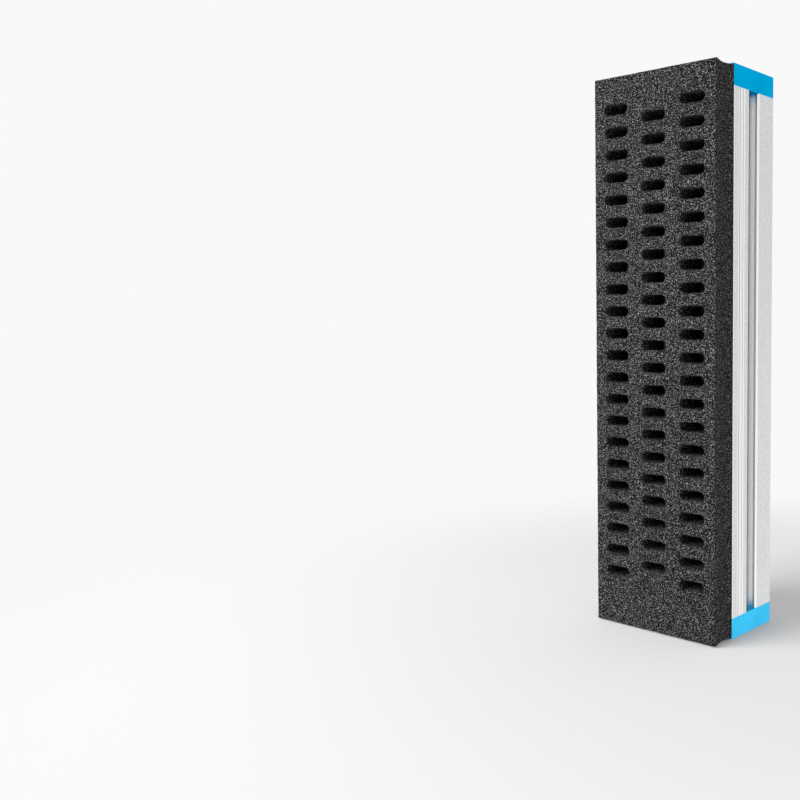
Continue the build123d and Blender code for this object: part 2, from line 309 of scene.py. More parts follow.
def edge_steps(radius, count):
    """Distances from an edge that sample a quarter circle of that radius evenly by angle."""
    angle = np.linspace(0.0, np.pi / 2, count)
    return radius * (1 - np.cos(angle))


def rounding_depth(radius, distance):
    """How far a quarter-circle edge lies below the face at a distance from the edge."""
    inside = np.clip(radius - distance, 0.0, radius)
    return radius - np.sqrt(np.maximum(radius**2 - inside**2, 0.0))


def loop_round(across, along):
    """Points of a rectangle's outline on the given grid lines, anticlockwise seen from -Y, ending
    where it began."""
    right = np.stack([np.full(len(along), across[-1]), along], -1)
    top = np.stack([across[::-1], np.full(len(across), along[-1])], -1)
    left = np.stack([np.full(len(along), across[0]), along[::-1]], -1)
    bottom = np.stack([across, np.full(len(across), along[0])], -1)
    return np.concatenate([right[:-1], top[:-1], left[:-1], bottom[:-1], right[:1]])


def slot_centres(sponge, top):
    """Middles (x, z) of all slots: two side columns, and a middle one half a pitch lower."""
    pitch = sponge.cell_pitch
    side = top - sponge.first_cell - pitch * np.arange(sponge.side_cells)
    middle = top - sponge.first_cell - pitch / 2 - pitch * np.arange(sponge.middle_cells)
    columns = [(-sponge.column_spacing, side), (0.0, middle), (sponge.column_spacing, side)]
    return np.concatenate([np.stack([np.full(len(z), x), z], -1) for x, z in columns])


def with_depth(plan, depth):
    """Points from their places (x, z) in the plane of the pad and their depths along Y."""
    return np.concatenate([plan[..., :1], depth, plan[..., 1:]], -1)


def slot_tiles(sponge, centres, front, seat):
    """Skin, wall and back of the sponge round every slot, as stacks of grids.
    Each point of a tile's outline looks at the nearest point of the slot's centre line. The slot's
    rim lies on that line of sight at half the slot's width, and rings go from the rim to the
    outline. The skin falls into the slot on a quarter circle. The wall is widest at half depth."""
    dip_reach = 0.0018
    rounding_rings = 4
    wall_rings = 7
    skin_shares = (0.1, 0.28, 0.58)
    back_share = 0.4
    half_across = sponge.column_spacing / 2
    half_along = sponge.cell_pitch / 2
    across = np.linspace(-half_across, half_across, TILE_STEPS_ACROSS + 1)
    along = np.linspace(-half_along, half_along, TILE_STEPS_ALONG + 1)
    outline = loop_round(across, along)
    half_line = (sponge.cell_length - sponge.cell_width) / 2
    core = np.stack([np.clip(outline[:, 0], -half_line, half_line), np.zeros(len(outline))], -1)
    away = outline - core
    reach = np.linalg.norm(away, axis=1, keepdims=True)
    away = away / reach
    rim = core + away * sponge.cell_width / 2
    room = reach - sponge.cell_width / 2
    near = edge_steps(sponge.cut_radius, rounding_rings)
    rings = [np.full_like(room, distance) for distance in near]
    rings += [near[-1] + (room - near[-1]) * share for share in skin_shares] + [room]
    rings = np.stack(rings)
    dip = sponge.press_dip * np.exp(-((rings / dip_reach) ** 2)) * (1 - rings / room)
    depth = front + rounding_depth(sponge.cut_radius, rings) + dip
    skin = with_depth(rim + away * rings, depth)
    share = np.linspace(1.0, 0.0, wall_rings)[:, None, None]
    wall_plan = rim + away * sponge.slot_hollow * np.sin(np.pi * share)
    wall = with_depth(wall_plan, depth[0] + (seat - depth[0]) * share)
    wall[-1] = skin[0]
    back_plan = rim + away * np.stack([room, room * back_share, room * 0.0])
    back_plan[0] = outline
    back = with_depth(back_plan, np.full_like(back_plan[..., :1], seat))
    back[-1] = wall[0]
    skin[-1][:, [0, 2]] = outline
    moves = np.zeros((len(centres), 1, 1, 3))
    moves[:, 0, 0, [0, 2]] = centres
    return [np.round(grid[None] + moves, DECIMALS) for grid in (skin, wall, back)]


def pad_lines(sponge, low, high):
    """Grid lines of the sponge across x and along z: fine at the outer edges, then in step with the
    tiles of the three columns."""
    rounding_lines = 5
    end_margin = 0.0012
    near = edge_steps(sponge.cut_radius, rounding_lines)
    tiles = 1.5 * sponge.column_spacing
    half_steps = 1.5 * TILE_STEPS_ACROSS
    inner = np.arange(-half_steps, half_steps + 0.5) * (sponge.column_spacing / TILE_STEPS_ACROSS)
    across = np.concatenate(
        [low.x + near, [(low.x - tiles) / 2], inner, [(high.x + tiles) / 2], high.x - near[::-1]]
    )
    step = sponge.cell_pitch / TILE_STEPS_ALONG
    first = math.ceil((low.z + end_margin) / step)
    last = math.floor((high.z - end_margin) / step)
    rows = np.arange(first, last + 1)
    along = np.concatenate([low.z + near, rows * step, high.z - near[::-1]])
    return np.round(across, DECIMALS), np.round(along, DECIMALS)


def plain_cells(sponge, centres, across, along):
    """True for the grid cells that no slot tile covers."""
    x = (across[:-1] + across[1:])[:, None, None] / 2
    z = (along[:-1] + along[1:])[None, :, None] / 2
    beside = np.abs(x - centres[:, 0]) < sponge.column_spacing / 2
    level = np.abs(z - centres[:, 1]) < sponge.cell_pitch / 2
    return ~(beside & level).any(axis=-1)


def pad_body(sponge, across, along, low, high):
    """Plain skin, outer edge and plain back of the sponge. The skin is a height field that falls on
    a quarter circle at the outer edges, and the outer edge is the outline carried in depth and
    drawn in by a parabola."""
    edge_rows = 13
    x, z = np.meshgrid(across, along, indexing="ij")
    from_side = np.minimum(x - low.x, high.x - x)
    from_end = np.minimum(z - low.z, high.z - z)
    radius = sponge.cut_radius
    over_side = np.clip(radius - from_side, 0.0, radius)
    over_end = np.clip(radius - from_end, 0.0, radius)
    fall = radius - np.sqrt(np.maximum(radius**2 - over_side**2 - over_end**2, 0.0))
    skin = np.stack([x, low.y + fall, z], -1)
    back = np.stack([x, np.full_like(x, high.y), z], -1).transpose(1, 0, 2)
    loop = loop_round(across, along)
    share = np.linspace(0.0, 1.0, edge_rows)[:, None]
    hollow = sponge.edge_hollow * 4 * share * (1 - share)
    middle = (low.z + high.z) / 2
    half_along = (high.z - low.z) / 2
    edge_x = loop[:, 0] * (1 - hollow / high.x)
    edge_z = middle + (loop[:, 1] - middle) * (1 - hollow / half_along)
    edge_y = low.y + radius + (high.y - low.y - radius) * share + 0 * edge_x
    edge = np.stack([edge_x, edge_y, edge_z], -1)
    return [np.round(grid, DECIMALS) for grid in (skin, edge, back)]


def sponge_waves(points, size, seat, depth):
    """Small moves of the sponge's skin and walls: for each axis a sum of twelve sine waves of 3 to
    14 mm in fixed random directions, fading to nothing at the seat."""
    waves = 12
    shortest, longest = 0.003, 0.014
    usual_sum = 5
    calm_share = 0.15
    rng = np.random.default_rng(7)
    moves = np.zeros_like(points)
    for axis in range(3):
        direction = rng.normal(size=(waves, 3))
        direction /= np.linalg.norm(direction, axis=1, keepdims=True)
        wave = 2 * np.pi / rng.uniform(shortest, longest, waves)
        phase = rng.uniform(0, 2 * np.pi, waves)
        heights = np.sin(points @ (direction * wave[:, None]).T + phase)
        moves[:, axis] = heights.sum(axis=1) / usual_sum
    fade = np.clip((seat - points[:, 1:2]) / (calm_share * depth), 0.0, 1.0)
    moves[:, 1] = np.abs(moves[:, 1])
    return size * moves * fade


# Screws


def hex_radius(angle, flats):
    """Distance from the middle of a hexagon to its side at an angle."""
    return flats / 2 / np.cos((angle + np.pi / 6) % (np.pi / 3) - np.pi / 6)


def countersunk_screw(diameter, head, socket, pitch, span):
    """Surface of one countersunk screw, its head face at height 0 and its shank pointing down.
    Rings of points follow the profile: drill point, hex socket, head face, rounded rim, cone, shank
    and tip. The socket's rings are hexagons. On the shank the radius is a triangle wave of the
    height plus the turn, which winds into a thread. Sizes are shares of the head's radius, the
    rim's rounding, the socket or the pitch."""
    sides = 48
    rings_per_turn = 5
    tip_length = 0.0006
    socket_edge = 0.00035
    turns = np.linspace(0, 2 * np.pi, sides + 1)
    # The last point of a ring is its first
    turns[-1] = 0.0
    six = hex_radius(turns, socket)
    one = np.ones_like(turns)
    depth = 0.42 * head / 2
    cone = (head - diameter) / 2
    rim = 0.06 * head
    rings = [
        (0.0 * one, -depth - 0.12 * socket),
        (0.35 * socket * one, -depth - 0.03 * socket),
        (0.97 * six, -depth),
        (six, -depth + 0.00015),
        (six, -socket_edge),
        (1.07 * six, -0.00008),
        (0.62 * socket * one, 0.0),
        (0.72 * socket * one, 0.0),
        ((head / 2 - 1.6 * rim) * one, 0.0),
        ((head / 2 - 1.15 * rim) * one, -0.12 * rim),
        ((head / 2 - 0.85 * rim) * one, -0.45 * rim),
        ((head / 2 - rim) * one, -rim),
        (diameter / 2 * one, -cone),
        (diameter / 2 * one, -cone - 0.5 * pitch),
    ]
    core = diameter / 2 - 0.5 * pitch
    end = -span + tip_length
    count = int((end + cone + pitch) / -pitch * rings_per_turn)
    for height in np.linspace(-cone - pitch, end, count):
        wound = np.abs((height / pitch + turns / (2 * np.pi)) % 1.0 * 2 - 1)
        rings.append((core + 0.48 * pitch * wound, height))
    rings += [(0.9 * core * one, -span), (0.0 * one, -span)]
    radius = np.stack([ring for ring, height in rings])
    height = np.array([height for ring, height in rings])[:, None] + 0 * radius
    return np.stack([radius * np.cos(turns), radius * np.sin(turns), height], -1)


def screws_piece(node_name, grid, turned, spots, material):
    """One piece for all screws of a CAD node, which it replaces: the same screw, turned, at each
    spot. Their radius is kept as an attribute, so that the turning marks run round each screw."""
    matrices = [np.asarray(Matrix.Translation(spot) @ turned) for spot in spots]
    flipped = grid[:, ::-1]
    placed = [flipped @ matrix[:3, :3].T + matrix[:3, 3] for matrix in matrices]
    points, quads = welded_surface([np.stack(placed)])
    piece = make_piece(f"{node_name}_detailed", points, quads, material)
    axis = matrices[0][:3, 2]
    gaps = points[:, None] - np.stack([matrix[:3, 3] for matrix in matrices])
    gaps -= (gaps @ axis)[..., None] * axis
    radius = np.linalg.norm(gaps, axis=-1).min(axis=1)
    attribute = piece.data.attributes.new("turning_radius", "FLOAT", "POINT")
    attribute.data.foreach_set("value", radius.astype(np.float32))
    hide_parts(node_name)
    return piece


# Materials


def feed(tree, node, inputs):
    """Links each socket, or sets each value, to the node's input of that name or number."""
    for key, value in inputs.items():
        if isinstance(value, bpy.types.NodeSocket):
            tree.links.new(value, node.inputs[key])
        else:
            node.inputs[key].default_value = value


def add_node(tree, kind, inputs=None, **settings):
    """A shader node with its settings. Each input is a socket to link or a value to set."""
    node = tree.nodes.new(kind)
    for name, value in settings.items():
        setattr(node, name, value)
    feed(tree, node, inputs or {})
    return node


def start_material(name):
    """An empty material with a Principled shader, and its object coordinates."""
    material = bpy.data.materials.new(name)
    material.use_nodes = True
    tree = material.node_tree
    tree.nodes.clear()
    shader = add_node(tree, "ShaderNodeBsdfPrincipled")
    add_node(tree, "ShaderNodeOutputMaterial", {"Surface": shader.outputs["BSDF"]})
    place = add_node(tree, "ShaderNodeTexCoord").outputs["Object"]
    return material, tree, shader, place


def finished(material, shader, shade, rough, normal, metallic=0.0):
    """The material, once its shader has its colour, roughness, bent normal and metalness."""
    inputs = {"Base Color": shade, "Roughness": rough, "Normal": normal, "Metallic": metallic}
    feed(material.node_tree, shader, inputs)
    return material


def noise(tree, place, scale, detail=2.0, roughness=0.5, stretch=(1, 1, 1)):
    """Noise from 0 to 1, of so many features per metre. A small stretch pulls it along an axis."""
    mapped = add_node(tree, "ShaderNodeMapping", {"Vector": place, "Scale": stretch})
    place = mapped.outputs["Vector"]
    inputs = {"Vector": place, "Scale": scale, "Detail": detail, "Roughness": roughness}
    return add_node(tree, "ShaderNodeTexNoise", inputs).outputs["Fac"]


def spread(tree, value, low, high, to_low=0.0, to_high=1.0, smooth=False):
    """A value from low to high made one from to_low to to_high, and held at the ends."""
    mapped = add_node(
        tree,
        "ShaderNodeMapRange",
        {"Value": value, "From Min": low, "From Max": high, "To Min": to_low, "To Max": to_high},
        interpolation_type="SMOOTHSTEP" if smooth else "LINEAR",
    )
    return mapped.outputs["Result"]


def work_out(tree, operation, first, second=0.0, third=0.0, hold=False):
    """The result of a math node, held between 0 and 1 where that is asked for."""
    inputs = {0: first, 1: second, 2: third}
    node = add_node(tree, "ShaderNodeMath", inputs, operation=operation, use_clamp=hold)
    return node.outputs["Value"]


def product(tree, first, *others):
    """Several values multiplied by each other."""
    for value in others:
        first = work_out(tree, "MULTIPLY", first, value)
    return first


def axes(tree, place):
    """The x, y and z of a place."""
    return add_node(tree, "ShaderNodeSeparateXYZ", {"Vector": place}).outputs


def blend_colours(tree, share, first, second):
    """A colour from first to second by a share. Each is a socket or three numbers. A Mix node has
    inputs of one name for each kind of value, so those for colours are picked by their numbers."""
    first = first if isinstance(first, bpy.types.NodeSocket) else (*first, 1.0)
    second = second if isinstance(second, bpy.types.NodeSocket) else (*second, 1.0)
    node = add_node(tree, "ShaderNodeMix", {0: share, 6: first, 7: second}, data_type="RGBA")
    return node.outputs[2]


def rounded_edges(tree, width):
    """The normal of slightly rounded edges, and how strongly a point lies on one, from 0 to 1."""
    rounded = add_node(tree, "ShaderNodeBevel", {"Radius": width}, samples=6).outputs["Normal"]
    flat = add_node(tree, "ShaderNodeNewGeometry").outputs["True Normal"]
    facing = add_node(tree, "ShaderNodeVectorMath", {0: rounded, 1: flat}, operation="DOT_PRODUCT")
    return rounded, spread(tree, facing.outputs["Value"], 0.99, 0.8)


def bump(tree, height, distance, strength=1.0, normal=None):
    """A normal bent by a height from 0 to 1 over a distance in metres."""
    inputs = {"Height": height, "Distance": distance, "Strength": strength}
    if normal is not None:
        inputs["Normal"] = normal
    return add_node(tree, "ShaderNodeBump", inputs).outputs["Normal"]


def scaled(shade, share):
    """A colour made lighter or darker."""
    return tuple(min(1.0, channel * share) for channel in shade)


def uneven(tree, pattern, shade, darkest, palest):
    """A colour made darker and paler by a pattern."""
    share = spread(tree, pattern, 0.3, 0.7)
    return blend_colours(tree, share, scaled(shade, darkest), scaled(shade, palest))


def between(tree, value, low, high, soft):
    """1 where a value lies between two others, with soft ends."""
    above = spread(tree, value, low - soft, low + soft, smooth=True)
    under = spread(tree, value, high - soft, high + soft, 1.0, 0.0, smooth=True)
    return product(tree, above, under)


def side_lines(tree, place):
    """Three masks of the extrusion's side faces: painted highlights on narrow bands beside the
    grooves, the seat and the T-slots' rear lips and floors, painted shade in the bottom of the side
    groove and of the joint, and a painted shadow along the T-slots' bottoms, where the front lip
    keeps light away."""
    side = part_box("profile")[1].x
    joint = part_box("profile")[0].y
    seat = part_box("suction_base")[0].y
    groove = seat + 0.0094
    lip_back, slot_bottom = side - 0.0032, side - 0.0085
    sharp, soft = 0.0001, 0.0002
    parts = axes(tree, place)
    across = work_out(tree, "ABSOLUTE", parts[0])
    outer = work_out(tree, "GREATER_THAN", across, side - 0.0011)
    lip = work_out(tree, "GREATER_THAN", across, lip_back)
    inner = between(tree, across, slot_bottom, lip_back, sharp)
    # Where each band of painted highlight shows, and from which to which place along Y
    bands = (
        (outer, seat, seat + 0.001),
        (outer, groove - 0.0021, groove - 0.0006),
        (outer, groove + 0.0006, groove + 0.0018),
        (outer, joint - 0.0019, joint - 0.0003),
        (outer, joint + 0.0003, joint + 0.002),
        (lip, joint + 0.0208, joint + 0.0232),
        (inner, joint + 0.0206, joint + 0.026),
    )
    bright = 0.0
    for where, low, high in bands:
        band = product(tree, between(tree, parts[1], low, high, soft), where)
        bright = work_out(tree, "MAXIMUM", band, bright)
    # Painted shade in the bottom of the side groove and along the joint
    groove_floor = between(tree, parts[1], groove - 0.0004, groove + 0.0004, sharp)
    joint_line = between(tree, parts[1], joint - 0.0003, joint + 0.0003, sharp)
    dark = product(tree, work_out(tree, "MAXIMUM", groove_floor, joint_line), outer)
    # Painted shadow of the front lip along the T-slot's bottom
    lip_shadow = product(tree, inner, between(tree, parts[1], joint + 0.015, joint + 0.0202, 0.0006))
    return bright, dark, lip_shadow


def extruded_aluminium(metal):
    """Satin anodised extrusion: die lines along Z, a fine etched grain, and edges painted paler for
    wear and highlight. The sponge's seat carries a dark film of glue, painted near black as the
    shade deep in the slots, where it shows."""
    material, tree, shader, place = start_material("extruded_aluminium")
    plain = metal.aluminium
    # Pale colour painted as highlights on the side bands, and as wear and highlight on the edges
    highlight_and_wear = (0.93, 0.93, 0.935)
    lines = noise(tree, place, 1500.0, 3.0, 0.65, (1, 1, 0.003))
    bands = noise(tree, place, 190.0, 2.0, 0.5, (1, 1, 0.01))
    grain = noise(tree, place, 5200.0, 2.0, 0.6)
    clouds = noise(tree, place, 26.0, 3.0, 0.55)
    satin = noise(tree, place, 840.0, 1.0, 0.5)
    shade = uneven(tree, lines, plain, 0.9, 1.06)
    # Each pattern, the part of its range that shows, its strongest share and how dark it is
    for pattern, low, high, most, darkest in (
        (bands, 0.35, 0.75, 0.35, 0.9),
        (clouds, 0.4, 0.8, 0.2, 0.97),
        (satin, 0.38, 0.66, 1.0, 0.82),
    ):
        share = spread(tree, pattern, low, high, 0.0, most)
        shade = blend_colours(tree, share, shade, scaled(plain, darkest))
    bright, dark, lip_shadow = side_lines(tree, place)
    # Painted shadow of the T-slots' front lips, broken up along the die lines
    drawn_out = spread(tree, lines, 0.35, 0.65, 0.5, 1.0)
    painted_lip_shadow = product(tree, lip_shadow, drawn_out, metal.lip_shadow_shade)
    shade = blend_colours(tree, painted_lip_shadow, shade, GROOVE_SHADE)
    # Edges painted paler: wear, and a painted highlight
    rounded, edge = rounded_edges(tree, metal.edge_width)
    # Painted highlights on the side bands and on the T-slots' rear lips and floors
    bright = work_out(tree, "MAXIMUM", product(tree, edge, 0.5), bright)
    shade = blend_colours(tree, bright, shade, highlight_and_wear)
    # Painted shade in the side groove and the joint
    shade = blend_colours(tree, product(tree, dark, 0.8), shade, GROOVE_SHADE)
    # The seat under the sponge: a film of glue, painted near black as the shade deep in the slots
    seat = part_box("suction_base")[0].y + 0.0001
    glued_and_shaded = work_out(tree, "LESS_THAN", axes(tree, place)[1], seat)
    shade = blend_colours(tree, glued_and_shaded, shade, metal.adhesive_and_shade)
    rough = spread(tree, lines, 0.3, 0.7, -0.05, 0.06)
    rough = work_out(tree, "ADD", rough, metal.aluminium_roughness)
    rough = work_out(tree, "ADD", rough, spread(tree, grain, 0.3, 0.7, -0.03, 0.03))
    etched = bump(tree, grain, 0.00004, 0.25, rounded)
    drawn = bump(tree, lines, 0.00006, 0.3, etched)
    normal = bump(tree, bands, 0.0001, 0.12, drawn)
    return finished(material, shader, shade, rough, normal, work_out(tree, "SUBTRACT", 1.0, glued_and_shaded))


def thread_height(tree, place, across, pitch, centre, radius, start):
    """Height of a cut thread in a bore: a triangle wave of the depth plus the turn, inside the bore
    only. across names the two axes over the bore and the one along it."""
    parts = axes(tree, place)
    first = work_out(tree, "SUBTRACT", parts[across[0]], centre[0])
    second = work_out(tree, "SUBTRACT", parts[across[1]], centre[1])
    turn = work_out(tree, "DIVIDE", work_out(tree, "ARCTAN2", second, first), 2 * math.pi)
    wound = work_out(tree, "ADD", work_out(tree, "DIVIDE", parts[across[2]], pitch), turn)
    wave = work_out(tree, "PINGPONG", wound, 0.5)
    square = work_out(tree, "ADD", product(tree, first, first), product(tree, second, second))
    inside = work_out(tree, "LESS_THAN", square, radius**2)
    deep = work_out(tree, "GREATER_THAN", parts[across[2]], start)
    return product(tree, wave, product(tree, inside, deep, 2.0))


def anodised_blue(name, metal, dye_and_painted_light):
    """Blue anodised cap: uneven dye, blasted grain, threads in its ports and paler edges."""
    material, tree, shader, place = start_material(name)
    worn_and_lit_blue = (0.12, 0.66, 0.96)
    glancing_tint = (min(1.0, dye_and_painted_light[0] * 8), 0.6, 0.95, 1.0)
    dye = noise(tree, place, 32.0, 3.0, 0.55)
    grain = noise(tree, place, 4200.0, 3.0, 0.6)
    saw = noise(tree, place, 900.0, 2.0, 0.5, (0.02, 0.02, 1))
    # The blue given here is the dye, painted paler for the lower cap as light from the floor
    shade = uneven(tree, dye, dye_and_painted_light, 0.92, 1.07)
    # Edges painted a paler blue: wear, and a painted highlight
    rounded, edge = rounded_edges(tree, metal.edge_width)
    shade = blend_colours(tree, product(tree, edge, 0.4), shade, worn_and_lit_blue)
    rough = work_out(tree, "ADD", spread(tree, grain, 0.3, 0.7, -0.05, 0.06), metal.cap_roughness)
    blasted = bump(tree, grain, 0.00005, 0.3, rounded)
    sawn = bump(tree, saw, 0.00005, 0.12, blasted)
    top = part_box("end_cap_upper")[1]
    middle = (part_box("profile")[0].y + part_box("profile")[1].y) / 2
    # Axes, pitch, centre, radius and inner end of the vacuum port's thread and of the gauge port's
    port = ((0, 1, 2), 0.001814, (0.0, middle), 0.0096, top.z - 0.0119)
    gauge = ((0, 2, 1), 0.0008, (0.0, top.z - 0.0085), 0.0023, top.y - 0.0089)
    threads = [thread_height(tree, place, *bore) for bore in (port, gauge)]
    cut = bump(tree, work_out(tree, "ADD", *threads), 0.0009, 1.0, sawn)
    feed(tree, shader, {"Specular Tint": glancing_tint})
    return finished(material, shader, shade, rough, cut, 1.0)


def cut_sponge(sponge):
    """Cut face of a black cell-rubber sponge: open pores in dark rubber, and pale specks where thin
    cell walls catch the light."""
    material, tree, shader, place = start_material("cut_sponge")
    bend = (0.0007, 0.0007, 0.0007)
    bent = add_node(tree, "ShaderNodeTexNoise", {"Vector": place, "Scale": 700.0, "Detail": 1.0})
    shifted = add_node(
        tree,
        "ShaderNodeVectorMath",
        {0: bent.outputs["Color"], 1: bend, 2: place},
        operation="MULTIPLY_ADD",
    ).outputs["Vector"]
    cells = {"Vector": shifted, "Scale": 1.0 / sponge.pore_size}
    pores = add_node(tree, "ShaderNodeTexVoronoi", cells).outputs["Distance"]
    rubber = spread(tree, pores, 0.18, 0.5, smooth=True)
    grain = noise(tree, place, 3300.0, 2.0, 0.7)
    walls = spread(tree, noise(tree, shifted, 1.0 / sponge.speck_size, 0.0), 0.49, 0.74)
    torn = product(tree, walls, spread(tree, rubber, 0.0, 1.0, 0.3, 1.0))
    speck = work_out(tree, "POWER", torn, 1.8)
    # Painted shade in the open pores, then the rubber's own colour
    dark = blend_colours(tree, rubber, sponge.painted_pore_shade, sponge.rubber_colour)
    rough = bump(tree, grain, 0.00012, 0.5)
    pitted = bump(tree, work_out(tree, "MULTIPLY_ADD", walls, 0.5, rubber), 0.0004, 0.8, rough)
    feed(tree, shader, {"Specular IOR Level": 0.15})
    shade = blend_colours(tree, speck, dark, sponge.speck_colour)
    return finished(material, shader, shade, 0.95, pitted)


def gasket_rubber(seals):
    """Matte rubber with a fine grain and dust."""
    material, tree, shader, place = start_material("gasket_rubber")
    grain = noise(tree, place, 2600.0, 3.0, 0.6)
    dust = spread(tree, noise(tree, place, 240.0, 3.0, 0.6), 0.45, 0.8, 0.0, 0.5)
    shade = blend_colours(tree, dust, seals.gasket, scaled(seals.gasket, 2.2))
    rough = spread(tree, grain, 0.2, 0.8, 0.7, 0.92)
    return finished(material, shader, shade, rough, bump(tree, grain, 0.00005, 0.5))


def strip_plastic(seals):
    """Moulded plastic with a fine eroded texture and faint flow lines along Z."""
    material, tree, shader, place = start_material("strip_plastic")
    eroded = noise(tree, place, 3000.0, 3.0, 0.6)
    flow = noise(tree, place, 300.0, 2.0, 0.5, (1, 1, 0.05))
    shade = uneven(tree, flow, seals.strip, 0.8, 1.2)
    rough = spread(tree, eroded, 0.2, 0.8, 0.45, 0.65)
    return finished(material, shader, shade, rough, bump(tree, eroded, 0.00004, 0.5))


def black_oxide(metal):
    """Black oxide on turned steel: rings round each screw, a worn sheen and fine grain."""
    material, tree, shader, place = start_material("black_oxide")
    black = metal.screw_black
    bare_steel = (0.2, 0.2, 0.21)
    turned = add_node(
        tree, "ShaderNodeAttribute", attribute_name="turning_radius", attribute_type="GEOMETRY"
    )
    rings = add_node(
        tree,
        "ShaderNodeTexNoise",
        {"W": turned.outputs["Fac"], "Scale": 5200.0, "Detail": 2.0},
        noise_dimensions="1D",
    ).outputs["Fac"]
    grain = noise(tree, place, 5200.0, 2.0, 0.6)
    worn = spread(tree, noise(tree, place, 420.0, 3.0, 0.6), 0.45, 0.8, 0.0, 0.6)
    shade = blend_colours(tree, worn, black, scaled(black, 2.4))
    rounded, edge = rounded_edges(tree, 0.00012)
    shade = blend_colours(tree, product(tree, edge, 0.35), shade, bare_steel)
    rough = spread(tree, grain, 0.2, 0.8, 0.3, 0.5)
    etched = bump(tree, grain, 0.00003, 0.3, rounded)
    return finished(material, shader, shade, rough, bump(tree, rings, 0.00004, 0.4, etched), 0.85)


def rolled_steel(metal):
    """Bright rolled sheet of the strainer disc, with rolling lines along X."""
    material, tree, shader, place = start_material("rolled_steel")
    bright_steel = (0.8, 0.8, 0.78)
    lines = noise(tree, place, 3000.0, 3.0, 0.6, (0.02, 1, 1))
    shade = uneven(tree, lines, metal.strainer_steel, 0.88, 1.1)
    rounded, edge = rounded_edges(tree, 0.0001)
    shade = blend_colours(tree, product(tree, edge, 0.4), shade, bright_steel)
    rough = spread(tree, lines, 0.3, 0.7, 0.2, 0.36)
    return finished(material, shader, shade, rough, bump(tree, lines, 0.00003, 0.3, rounded), 1.0)


# Studio


def mirrored_share(tree, ray, share):
    """A share where the camera sees a thing mirrored in metal, and 0 where metal lights a thing."""
    direct = work_out(tree, "LESS_THAN", ray["Diffuse Depth"], 0.5)
    return product(tree, ray["Is Glossy Ray"], direct, share)


def seen_share(tree, ray):
    """1 for what the camera sees, straight or through something clear."""
    return work_out(tree, "ADD", ray["Is Camera Ray"], ray["Is Transmission Ray"], hold=True)


def plain_light(tree, kind, shade, strength):
    """An even light of one colour, from a surface or from the room."""
    return add_node(tree, kind, {"Color": (*shade, 1.0), "Strength": strength}).outputs[0]


def mix_shaders(tree, share, first, second):
    """A shader from first to second by a share."""
    return add_node(tree, "ShaderNodeMixShader", {0: share, 1: first, 2: second}).outputs["Shader"]


def studio_floor(studio):
    """Pale matte floor that takes the gripper's shadow and fades to the background further out."""
    material, tree, shader, place = start_material("studio_floor")
    glow = plain_light(tree, "ShaderNodeEmission", studio.floor_colour, 1.0)
    mirrored = plain_light(tree, "ShaderNodeEmission", studio.floor_colour, studio.mirrored_floor)
    parts = axes(tree, place)
    squares = [product(tree, parts[axis], parts[axis]) for axis in (0, 1)]
    distance = work_out(tree, "SQRT", work_out(tree, "ADD", *squares))
    far = spread(tree, distance, studio.fade_start, studio.fade_end, smooth=True)
    ray = add_node(tree, "ShaderNodeLightPath").outputs
    seen = seen_share(tree, ray)
    feed(
        tree,
        shader,
        {
            "Base Color": (*studio.floor_colour, 1.0),
            "Roughness": 0.9,
            "Specular IOR Level": 0.1,
            "Emission Color": (1.0, 1.0, 1.0, 1.0),
            "Emission Strength": product(tree, seen, studio.floor_lift),
        },
    )
    faded = mix_shaders(tree, product(tree, far, seen), shader.outputs["BSDF"], glow)
    surface = mix_shaders(tree, mirrored_share(tree, ray, 0.9), faded, mirrored)
    output = next(node for node in tree.nodes if node.type == "OUTPUT_MATERIAL")
    feed(tree, output, {"Surface": surface})
    return material


def build_world(studio):
    """Even room light, with the floor's pale colour where the camera and the metal see it."""
    world = bpy.data.worlds.new("studio_room")
    bpy.context.scene.world = world
    world.use_nodes = True
    tree = world.node_tree
    tree.nodes.clear()
    kind = "ShaderNodeBackground"
    light = plain_light(tree, kind, (1.0, 1.0, 1.0), studio.room_light)
    mirrored = plain_light(tree, kind, studio.floor_colour, studio.mirrored_room)
    shown = plain_light(tree, kind, studio.floor_colour, 1.0)
    ray = add_node(tree, "ShaderNodeLightPath").outputs
    mixed = mix_shaders(tree, mirrored_share(tree, ray, 1.0), light, mirrored)
    mixed = mix_shaders(tree, seen_share(tree, ray), mixed, shown)
    add_node(tree, "ShaderNodeOutputWorld", {"Surface": mixed})


def area_lamp(name, place, target, size, power):
    """A square soft lamp that looks at a point. The metal mirrors the room and not the lamp."""
    lamp = bpy.data.lights.new(name, "AREA")
    lamp.shape = "SQUARE"
    lamp.size = size
    lamp.energy = power
    thing = bpy.data.objects.new(name, lamp)
    thing.visible_glossy = False
    thing.location = place
    thing.rotation_euler = (Vector(target) - Vector(place)).to_track_quat("-Z", "Y").to_euler()
    bpy.context.scene.collection.objects.link(thing)


def build_camera(studio):
    """The camera from its place, azimuth, elevation and roll."""
    sensor = 36.0
    data = bpy.data.cameras.new("studio_camera")
    data.sensor_width = sensor
    data.lens = sensor * studio.focal_share
    data.shift_x, data.shift_y = studio.shift
    data.clip_start = 0.01
    data.clip_end = 60.0
    camera = bpy.data.objects.new("studio_camera", data)
    bpy.context.scene.collection.objects.link(camera)
    azimuth = Matrix.Rotation(studio.camera_azimuth, 4, "Z")
    # A camera with no turn looks straight down
    rise = Matrix.Rotation(math.pi / 2 + studio.camera_elevation, 4, "X")
    roll = Matrix.Rotation(studio.camera_roll, 4, "Z")
    camera.matrix_world = Matrix.Translation(studio.camera_place) @ azimuth @ rise @ roll
    bpy.context.scene.camera = camera


# Operators


